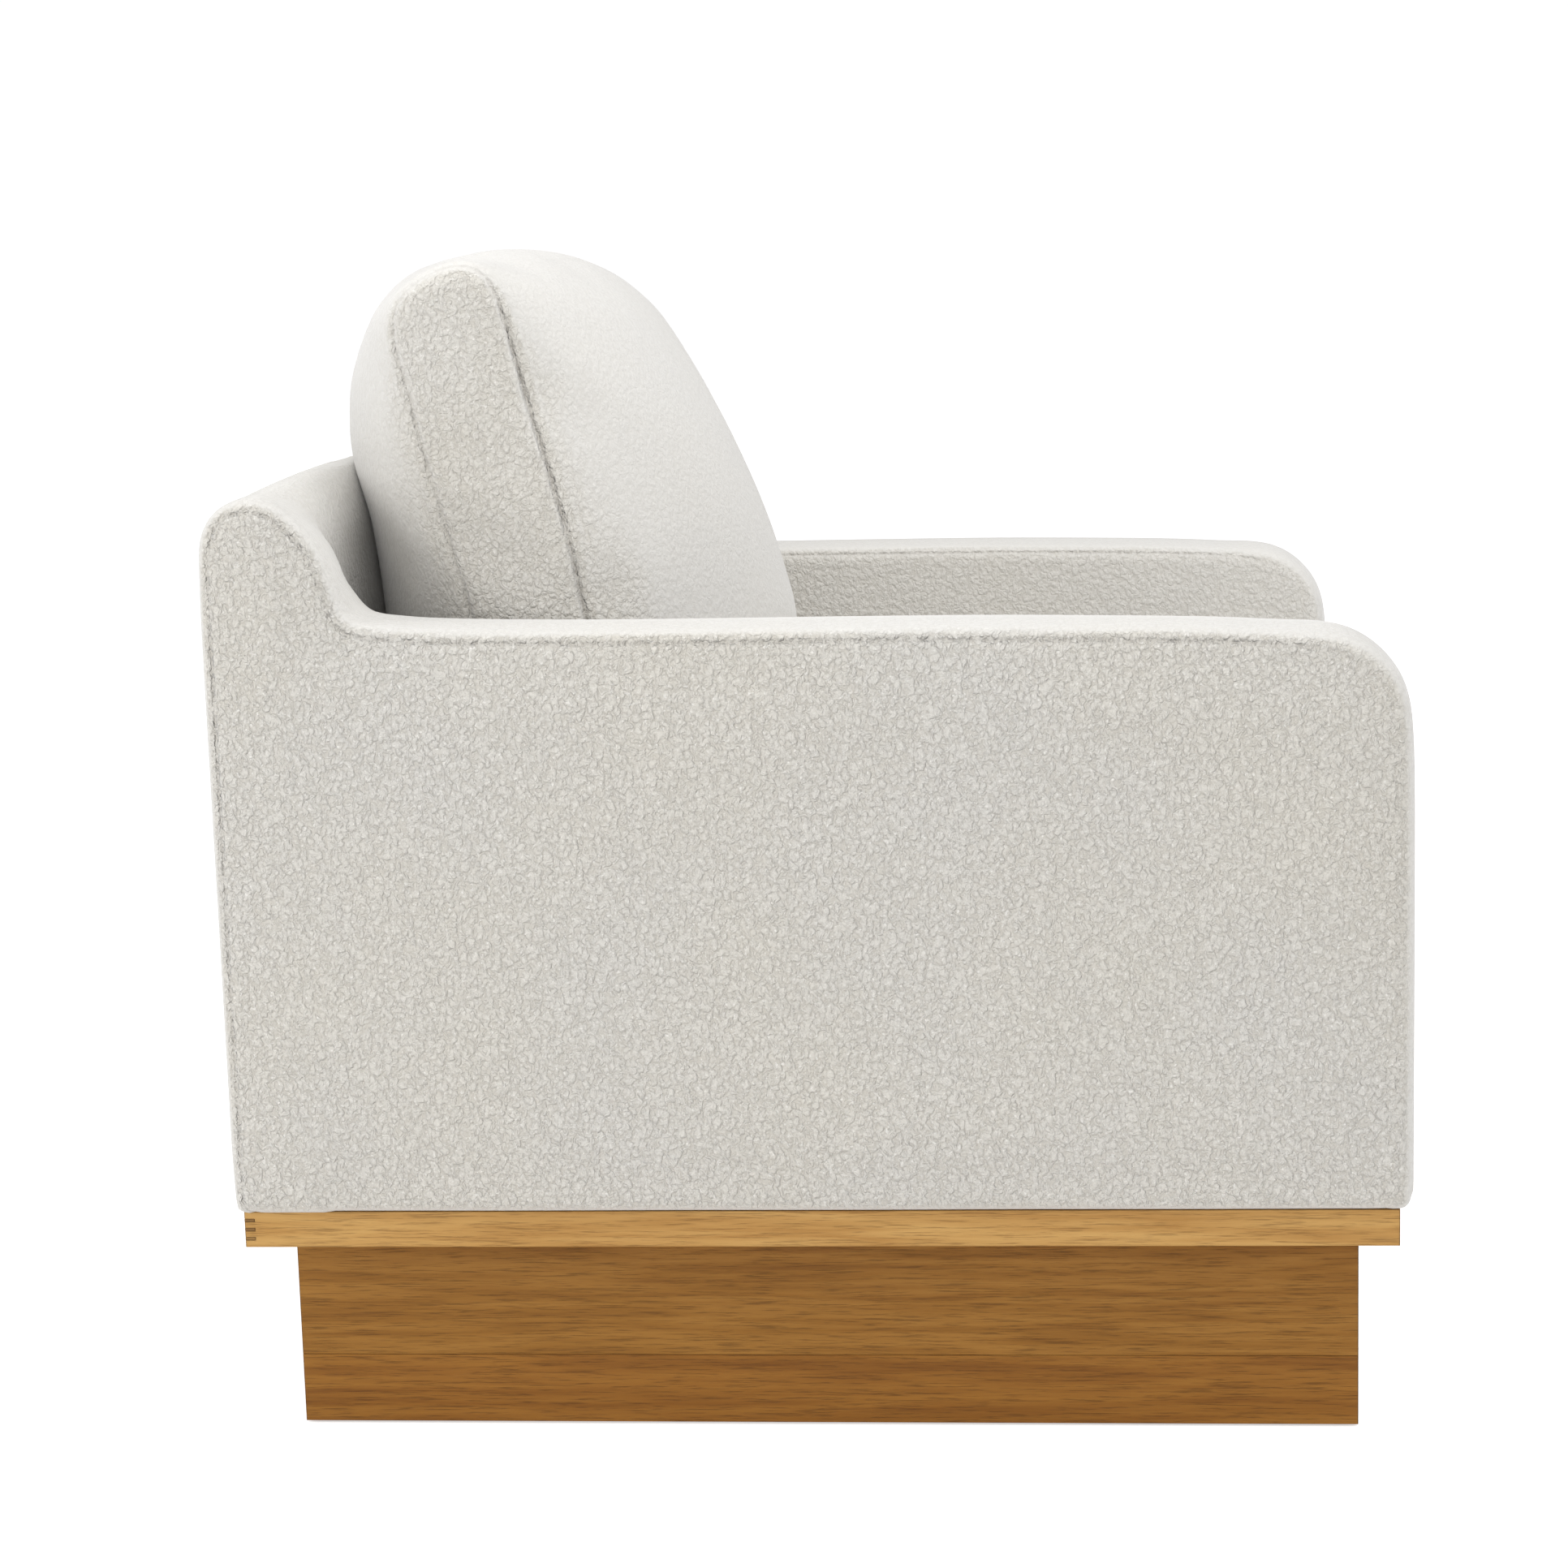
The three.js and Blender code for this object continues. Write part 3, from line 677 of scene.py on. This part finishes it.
# ------------------------------------------------------------------ materials
class Shader:
    """A node material with a Principled surface, and short ways to add what it is made of."""

    def __init__(self, name):
        self.material = bpy.data.materials.new(name)
        self.material.use_nodes = True
        self.tree = self.material.node_tree
        self.tree.nodes.clear()
        self.surface = self.node("BsdfPrincipled")
        output = self.node("OutputMaterial")
        self.tree.links.new(self.surface.outputs[0], output.inputs["Surface"])
        self.place = self.node("TexCoord").outputs["Object"]

    def node(self, kind, inputs=None, **settings):
        made = self.tree.nodes.new("ShaderNode" + kind)
        for name, value in settings.items():
            setattr(made, name, value)
        for name, value in (inputs or {}).items():
            self.put(made.inputs[name], value)
        return made

    def put(self, socket, value):
        if isinstance(value, bpy.types.NodeSocket):
            self.tree.links.new(value, socket)
        else:
            socket.default_value = value

    def set(self, **values):
        for name, value in values.items():
            self.put(self.surface.inputs[name.replace("_", " ")], value)

    def math(self, operation, a, b=0.0, c=0.0):
        made = self.node("Math", operation=operation)
        for i, value in enumerate((a, b, c)):
            self.put(made.inputs[i], value)
        return made.outputs[0]

    def vector(self, operation, a, b):
        made = self.node("VectorMath", operation=operation)
        self.put(made.inputs[0], a)
        self.put(made.inputs[1], b)
        return made.outputs[0]

    def stretch(self, x, y, z):
        return self.vector("MULTIPLY", self.place, (x, y, z))

    def noise(self, at, scale, detail=2.0, roughness=0.5, out="Fac"):
        made = self.node("TexNoise", {
            "Vector": at, "Scale": scale, "Detail": detail, "Roughness": roughness,
        })
        return made.outputs[out]

    def remap(self, value, low, high, to_low=0.0, to_high=1.0):
        made = self.node("MapRange", {
            "Value": value, "From Min": low, "From Max": high, "To Min": to_low, "To Max": to_high,
        })
        made.clamp = True
        return made.outputs[0]

    def ramp(self, value, stops):
        made = self.node("ValToRGB", {"Fac": value})
        points = made.color_ramp.elements
        while len(points) < len(stops):
            points.new(0.5)
        for point, (position, colour) in zip(points, stops):
            point.position = position
            point.color = (*colour, 1.0)
        return made.outputs["Color"]

    def mix(self, share, a, b, blend="MIX"):
        made = self.node("Mix", data_type="RGBA", blend_type=blend)
        for i, value in ((0, share), (6, a), (7, b)):
            if isinstance(value, tuple) and len(value) == 3:
                value = (*value, 1.0)
            self.put(made.inputs[i], value)
        return made.outputs[2]

    def bump(self, height, distance, strength=1.0, normal=None):
        made = self.node("Bump", {"Height": height, "Distance": distance, "Strength": strength})
        if normal is not None:
            self.put(made.inputs["Normal"], normal)
        return made.outputs[0]


NODULES = 230.0           # nodules of pile per metre
CURLS = 390.0             # the finer curls on them
FUZZ = 620.0
PILE_DEPTH = 0.0034
SEAM_DEPTH = 0.0022       # of the shaded groove along a seam
PALE, WARM_PALE = (0.688, 0.668, 0.628), (0.700, 0.672, 0.612)
# Tone of the flatter faces: partly the brushed nap's own tone and partly a painted highlight, paler and more
# neutral
BRUSHED_NAP_AND_HIGHLIGHT = (0.690, 0.682, 0.668)
# Painted shade: the dark colour laid into the creases between the nodules
PAINTED_CREASE_SHADE = (0.42, 0.385, 0.325)
# Painted highlight: the colour of tiny bright glints on the pile
PAINTED_GLINT = (0.90, 0.88, 0.84)
SEAM_SHADE = (0.33, 0.30, 0.26)


def sherpa_material():
    """Curly boucle pile: rounded nodules with painted shade in the creases between them, fine fuzz, and
    painted highlights as pale glints.
    """
    s = Shader("sherpa_pile")
    half = (0.5, 0.5, 0.5)
    slow = s.vector("SUBTRACT", s.noise(s.place, 130, 1.0, out="Color"), half)
    fast = s.vector("SUBTRACT", s.noise(s.place, 420, 1.0, out="Color"), half)
    bent = s.vector("ADD", s.place, s.vector("MULTIPLY", slow, (0.0060,) * 3))
    bent = s.vector("ADD", bent, s.vector("MULTIPLY", fast, (0.0024,) * 3))
    drawn = s.vector("MULTIPLY", bent, (1.0, 1.0, 0.82))
    small = s.math("ABSOLUTE", s.math("SUBTRACT", s.noise(drawn, CURLS, 0.0), 0.5))
    cells = s.node("TexVoronoi", {"Vector": drawn, "Scale": NODULES, "Randomness": 0.9})
    nodule = cells.outputs["Distance"]
    rounded = s.math("SUBTRACT", 1.0, s.math("POWER", s.remap(nodule, 0.0, 0.68), 2.0))
    dome = s.math("ADD", rounded, s.math("MULTIPLY", s.remap(small, 0.0, 0.24), 0.42))
    # Where the painted crease shade goes: the edges of the nodules, less where the finer curls lie
    crease_shade = s.math("MULTIPLY", s.remap(nodule, 0.43, 0.62), s.remap(small, 0.02, 0.20, 1.0, 0.35))
    fuzz = s.noise(s.place, FUZZ, 3.0, 0.65)
    seam = s.node("Attribute", attribute_name="seam").outputs["Fac"]
    stitch = s.node("Attribute", attribute_name="stitch").outputs["Fac"]
    from_seam = s.math("ADD", s.math("ABSOLUTE", seam), s.math("MULTIPLY", fuzz, 0.0012))
    groove = s.remap(from_seam, 0.0008, 0.0032, 0.0, 1.0)
    curl = s.node("Attribute", attribute_name="curl").outputs["Fac"]
    height = s.math("ADD", s.math("MULTIPLY", dome, 0.58), s.math("MULTIPLY", fuzz, 0.27))
    pile = s.bump(height, PILE_DEPTH, s.math("MULTIPLY", curl, 0.85))
    stitched = s.bump(groove, SEAM_DEPTH, s.math("MULTIPLY", stitch, 0.85), pile)
    wide = s.remap(s.noise(s.place, 5.5, 3.0, 0.55), 0.3, 0.7)
    tone = s.mix(wide, WARM_PALE, PALE)
    # The flatter faces, which catch the light, get a paler, more neutral tone: partly the brushed nap and
    # partly a painted highlight
    brushed = s.remap(curl, 0.35, 0.90, 0.60, 0.0)
    tone = s.mix(brushed, tone, BRUSHED_NAP_AND_HIGHLIGHT)
    # Painted shade in the creases, stronger where the pile is curlier
    dark = s.math("MULTIPLY", s.math("MULTIPLY", crease_shade, curl), 0.32)
    tone = s.mix(dark, tone, PAINTED_CREASE_SHADE)
    # Painted highlights: small bright glints, stronger where the pile is curlier
    painted_glint = s.remap(s.noise(s.place, 420, 2.0), 0.60, 0.72)
    tone = s.mix(s.math("MULTIPLY", s.math("MULTIPLY", painted_glint, curl), 0.70), tone, PAINTED_GLINT)
    broken = s.remap(s.noise(s.place, 140, 2.0), 0.38, 0.62, 0.35, 1.0)
    seam_dark = s.math("MULTIPLY", s.math("MULTIPLY", s.remap(groove, 0.0, 1.0, 0.50, 0.0), stitch), broken)
    tone = s.mix(seam_dark, tone, SEAM_SHADE)
    s.set(Base_Color=tone, Roughness=s.remap(fuzz, 0.3, 0.7, 0.86, 0.98), Normal=stitched)
    s.set(Sheen_Weight=0.50, Sheen_Roughness=0.32, Specular_IOR_Level=0.15)
    return s.material


def wood_material(name, along, tones):
    """Oiled hardwood whose grain runs along the X or Y axis, with growth bands, streaks and pores."""
    s = Shader(name)
    slow, fast = 0.62, 17.0
    scale = {"X": (slow, fast, fast), "Y": (fast, slow, fast)}[along]
    own = s.math("MULTIPLY", s.node("ObjectInfo").outputs["Random"], 7.3)
    shifted = s.vector("ADD", s.place, s.node("CombineXYZ", {"X": own, "Y": own, "Z": own}).outputs[0])
    long_grain = s.vector("MULTIPLY", shifted, scale)
    sway = s.noise(s.vector("MULTIPLY", shifted, (3.0,) * 3), 1.0, 2.0)
    rings = s.noise(long_grain, 1.9, 3.0, 0.55)
    bands = s.math("FRACT", s.math("ADD", s.math("MULTIPLY", rings, 6.0), s.math("MULTIPLY", sway, 2.2)))
    bands = s.math("ABSOLUTE", s.math("SUBTRACT", s.math("MULTIPLY", bands, 2.0), 1.0))
    streaks = s.noise(s.vector("MULTIPLY", long_grain, (2.0,) * 3), 6.5, 5.0, 0.68)
    fine = s.noise(s.vector("MULTIPLY", long_grain, (3.5,) * 3), 17.0, 3.0, 0.6)
    blend = s.math("ADD", s.math("MULTIPLY", bands, 0.30), s.math("MULTIPLY", streaks, 0.70))
    colour = s.ramp(blend, [(0.22, tones[2]), (0.45, tones[1]), (0.70, tones[0])])
    cloud = s.remap(s.noise(s.place, 3.2, 2.0), 0.35, 0.68)
    colour = s.mix(s.math("MULTIPLY", cloud, 0.30), colour, tones[3])
    pores = s.remap(fine, 0.34, 0.48, 1.0, 0.0)
    colour = s.mix(s.math("MULTIPLY", pores, 0.52), colour, tuple(0.42 * v for v in tones[2]))
    bevel = s.node("Bevel", {"Radius": 0.0012}, samples=4)
    relief = s.math("SUBTRACT", s.math("MULTIPLY", streaks, 0.5), s.math("MULTIPLY", pores, 0.5))
    normal = s.bump(relief, 0.00045, 0.55, bevel.outputs[0])
    s.set(Base_Color=colour, Roughness=s.remap(streaks, 0.3, 0.7, 0.40, 0.56), Normal=normal)
    s.set(Specular_IOR_Level=0.22)
    return s.material


def steel_material():
    s = Shader("zinc_steel")
    brushed = s.noise(s.stretch(1, 9, 1), 260, 3.0, 0.6)
    spots = s.remap(s.noise(s.place, 60, 3.0), 0.4, 0.7)
    tone = s.mix(spots, (0.47, 0.48, 0.50), (0.36, 0.36, 0.37))
    s.set(Base_Color=tone, Metallic=1.0, Roughness=s.remap(brushed, 0.3, 0.7, 0.28, 0.46))
    s.set(Normal=s.bump(brushed, 0.0002, 0.4))
    return s.material


def fibre_material(name, light, dark, scale, depth):
    """Felted or foamed stuff: mottled in tone, with small pores."""
    s = Shader(name)
    coarse = s.noise(s.place, scale, 4.0, 0.7)
    pores = s.node("TexVoronoi", {"Vector": s.place, "Scale": scale * 4}).outputs["Distance"]
    tone = s.mix(s.remap(coarse, 0.35, 0.65), dark, light)
    height = s.math("ADD", coarse, s.math("MULTIPLY", pores, 0.5))
    s.set(Base_Color=tone, Roughness=s.remap(pores, 0.1, 0.6, 0.98, 0.85))
    s.set(Normal=s.bump(height, depth, 0.7), Specular_IOR_Level=0.2)
    return s.material


def zip_material():
    """Woven zip tape with its coil: fine teeth across the run."""
    s = Shader("zip_coil")
    x = s.node("SeparateXYZ", {"Vector": s.place}).outputs["X"]
    teeth = s.math("SINE", s.math("MULTIPLY", x, 3100.0))
    weave = s.noise(s.place, 900, 2.0)
    tone = s.mix(s.remap(teeth, -0.4, 0.6), (0.42, 0.40, 0.37), (0.70, 0.68, 0.64))
    s.set(Base_Color=tone, Roughness=s.remap(weave, 0.3, 0.7, 0.45, 0.75), Normal=s.bump(teeth, 0.0006, 0.8))
    return s.material


LIGHT_WOOD = [
    (0.585, 0.3451, 0.115), (0.5021, 0.274, 0.0819),
    (0.3978, 0.193, 0.0478), (0.5333, 0.3032, 0.0916),
]
PLINTH_WOOD = [
    (0.351, 0.1656, 0.0324), (0.2835, 0.1242, 0.0198),
    (0.2025, 0.0801, 0.0108), (0.3465, 0.1638, 0.0297),
]
LOWER_WOOD = [
    (0.3311, 0.1462, 0.0241), (0.2623, 0.1066, 0.0155),
    (0.1806, 0.0654, 0.0086), (0.3053, 0.1273, 0.0206),
]
KEY_WOOD = [(0.33, 0.185, 0.060), (0.25, 0.130, 0.040), (0.16, 0.075, 0.020), (0.30, 0.16, 0.05)]
PINE = [(0.72, 0.53, 0.30), (0.63, 0.44, 0.22), (0.50, 0.32, 0.14), (0.68, 0.50, 0.27)]


def board_axis(name):
    low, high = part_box(name)
    return "X" if high.x - low.x > high.y - low.y else "Y"


def paint_nodes():
    """Gives every carried-over CAD node the finish of its slot."""
    woods = {}

    def wood(kind, along):
        tones = {"platform_wood": LIGHT_WOOD, "plinth_wood": PLINTH_WOOD, "lower_wood": LOWER_WOOD,
                 "key_wood": KEY_WOOD, "frame_wood": PINE}[kind]
        if (kind, along) not in woods:
            woods[kind, along] = wood_material(f"{kind}_{along}", along, tones)
        return woods[kind, along]

    others = {
        "steel": steel_material(),
        "deck_felt": fibre_material("deck_felt", (0.36, 0.35, 0.34), (0.22, 0.22, 0.22), 210, 0.0012),
        "foam": fibre_material("foam_block", (0.83, 0.78, 0.62), (0.72, 0.66, 0.50), 330, 0.0008),
        "zip_tape": zip_material(),
        "glide": fibre_material("glide_felt", (0.16, 0.15, 0.14), (0.08, 0.075, 0.07), 400, 0.0004),
        "sherpa": sherpa,
    }
    slots = {p["node"]: p["material_slot"] for p in frame["record"]["subparts"]}
    for name, obj in frame["nodes"].items():
        slot = slots[name]
        if slot in others:
            finish = others[slot]
        else:
            kind = "lower_wood" if "lower_board" in name else slot
            finish = wood(kind, board_axis(name))
        obj.data.materials.clear()
        obj.data.materials.append(finish)
    return others


# ------------------------------------------------------------------ studio
CAMERA_PLACE = Vector((-2.4497, -0.1717, 0.8131))
CAMERA_TURN = -0.0885       # to the side of straight across the chair
CAMERA_DROP = 0.1591        # below the horizon
CAMERA_TILT = 0.0285
CAMERA_LENS = 70.13


def make_camera():
    sin, cos = np.sin, np.cos
    down = Vector((0, 0, -1))
    ahead = Vector((cos(CAMERA_TURN), -sin(CAMERA_TURN), 0))
    right = Vector((-sin(CAMERA_TURN), -cos(CAMERA_TURN), 0))
    view = cos(CAMERA_DROP) * ahead + sin(CAMERA_DROP) * down
    under = cos(CAMERA_DROP) * down - sin(CAMERA_DROP) * ahead
    across = cos(CAMERA_TILT) * right + sin(CAMERA_TILT) * under
    low = cos(CAMERA_TILT) * under - sin(CAMERA_TILT) * right
    data = bpy.data.cameras.new("camera")
    data.sensor_width, data.lens = 36.0, CAMERA_LENS
    data.clip_start, data.clip_end = 0.05, 60.0
    camera = bpy.data.objects.new("camera", data)
    turn = Matrix((across, -low, -view)).transposed()
    camera.matrix_world = Matrix.Translation(CAMERA_PLACE) @ turn.to_4x4()
    bpy.context.scene.collection.objects.link(camera)
    bpy.context.scene.camera = camera


def make_light(name, place, target, size, power):
    data = bpy.data.lights.new(name, "AREA")
    data.shape, data.size, data.energy = "SQUARE", size, power
    lamp = bpy.data.objects.new(name, data)
    lamp.location = place
    lamp.rotation_euler = (Vector(target) - Vector(place)).to_track_quat("-Z", "Y").to_euler()
    lamp.visible_camera = False
    bpy.context.scene.collection.objects.link(lamp)


WORLD_LIGHT = 0.62          # of the backdrop on the chair
WORLD_SEEN = 1.02           # of the backdrop as the camera sees it
FLOOR_REACH = 24.0
# Each softbox: its name, place, the point it is aimed at, its width and its power.
MIDDLE = (0, 0, 0.4)
SOFTBOXES = [
    ("top_softbox", (-0.6, -0.9, 3.2), MIDDLE, 2.6, 30.5),
    ("front_softbox", (-1.2, -3.2, 1.7), MIDDLE, 2.2, 14),
    ("rear_softbox", (-1.5, 3.0, 1.6), MIDDLE, 2.0, 42),
    ("inner_softbox", (-0.25, 0.1, 1.9), (0.4, -0.2, 0.45), 0.9, 5.4),
    ("side_softbox", (-3.3, 0.2, 1.5), MIDDLE, 2.0, 12.5),
]


def make_studio():
    world = bpy.data.worlds.new("studio")
    world.use_nodes = True
    tree = world.node_tree
    backdrop = tree.nodes["Background"]
    backdrop.inputs["Color"].default_value = (1, 1, 1, 1)
    seen = tree.nodes.new("ShaderNodeLightPath").outputs["Is Camera Ray"]
    level = tree.nodes.new("ShaderNodeMapRange")
    level.inputs["To Min"].default_value = WORLD_LIGHT
    level.inputs["To Max"].default_value = WORLD_SEEN
    tree.links.new(seen, level.inputs["Value"])
    tree.links.new(level.outputs[0], backdrop.inputs["Strength"])
    bpy.context.scene.world = world
    for softbox in SOFTBOXES:
        make_light(*softbox)
    floor = Shader("floor_paper")
    grain = floor.noise(floor.place, 40, 2.0)
    seen = floor.node("LightPath").outputs["Is Camera Ray"]
    floor.set(Emission_Color=(1, 1, 1, 1), Emission_Strength=floor.math("MULTIPLY", seen, 0.55))
    floor.set(Base_Color=floor.mix(grain, (0.93, 0.93, 0.93), (0.95, 0.95, 0.95)), Roughness=0.9)
    mesh = bpy.data.meshes.new("floor")
    reach = FLOOR_REACH
    mesh.from_pydata([(-reach, -reach, 0), (reach, -reach, 0), (reach, reach, 0), (-reach, reach, 0)],
                     [], [(0, 1, 2, 3)])
    mesh.materials.append(floor.material)
    plane = bpy.data.objects.new("floor", mesh)
    bpy.context.scene.collection.objects.link(plane)
    bpy.context.scene.view_settings.view_transform = "Standard"


# ------------------------------------------------------------------ the scene
make_camera()
sherpa = sherpa_material()
finishes = paint_nodes()

body_cover = make_body_cover()
front_panel = make_front_panel()
seat_cushion, seat_foam = make_seat_cushion()
back_cushion, back_foam = make_back_cushion()

for piece, rides_on in (
    (body_cover, "root"), (front_panel, "root"),
    (seat_cushion, "seat_cushion"), (back_cushion, "back_cushion"),
):
    piece.data.materials.append(sherpa)
    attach(piece, rides_on)
for piece, rides_on in ((seat_foam, "seat_cushion"), (back_foam, "back_cushion")):
    piece.data.materials.append(finishes["foam"])
    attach(piece, rides_on)

make_studio()
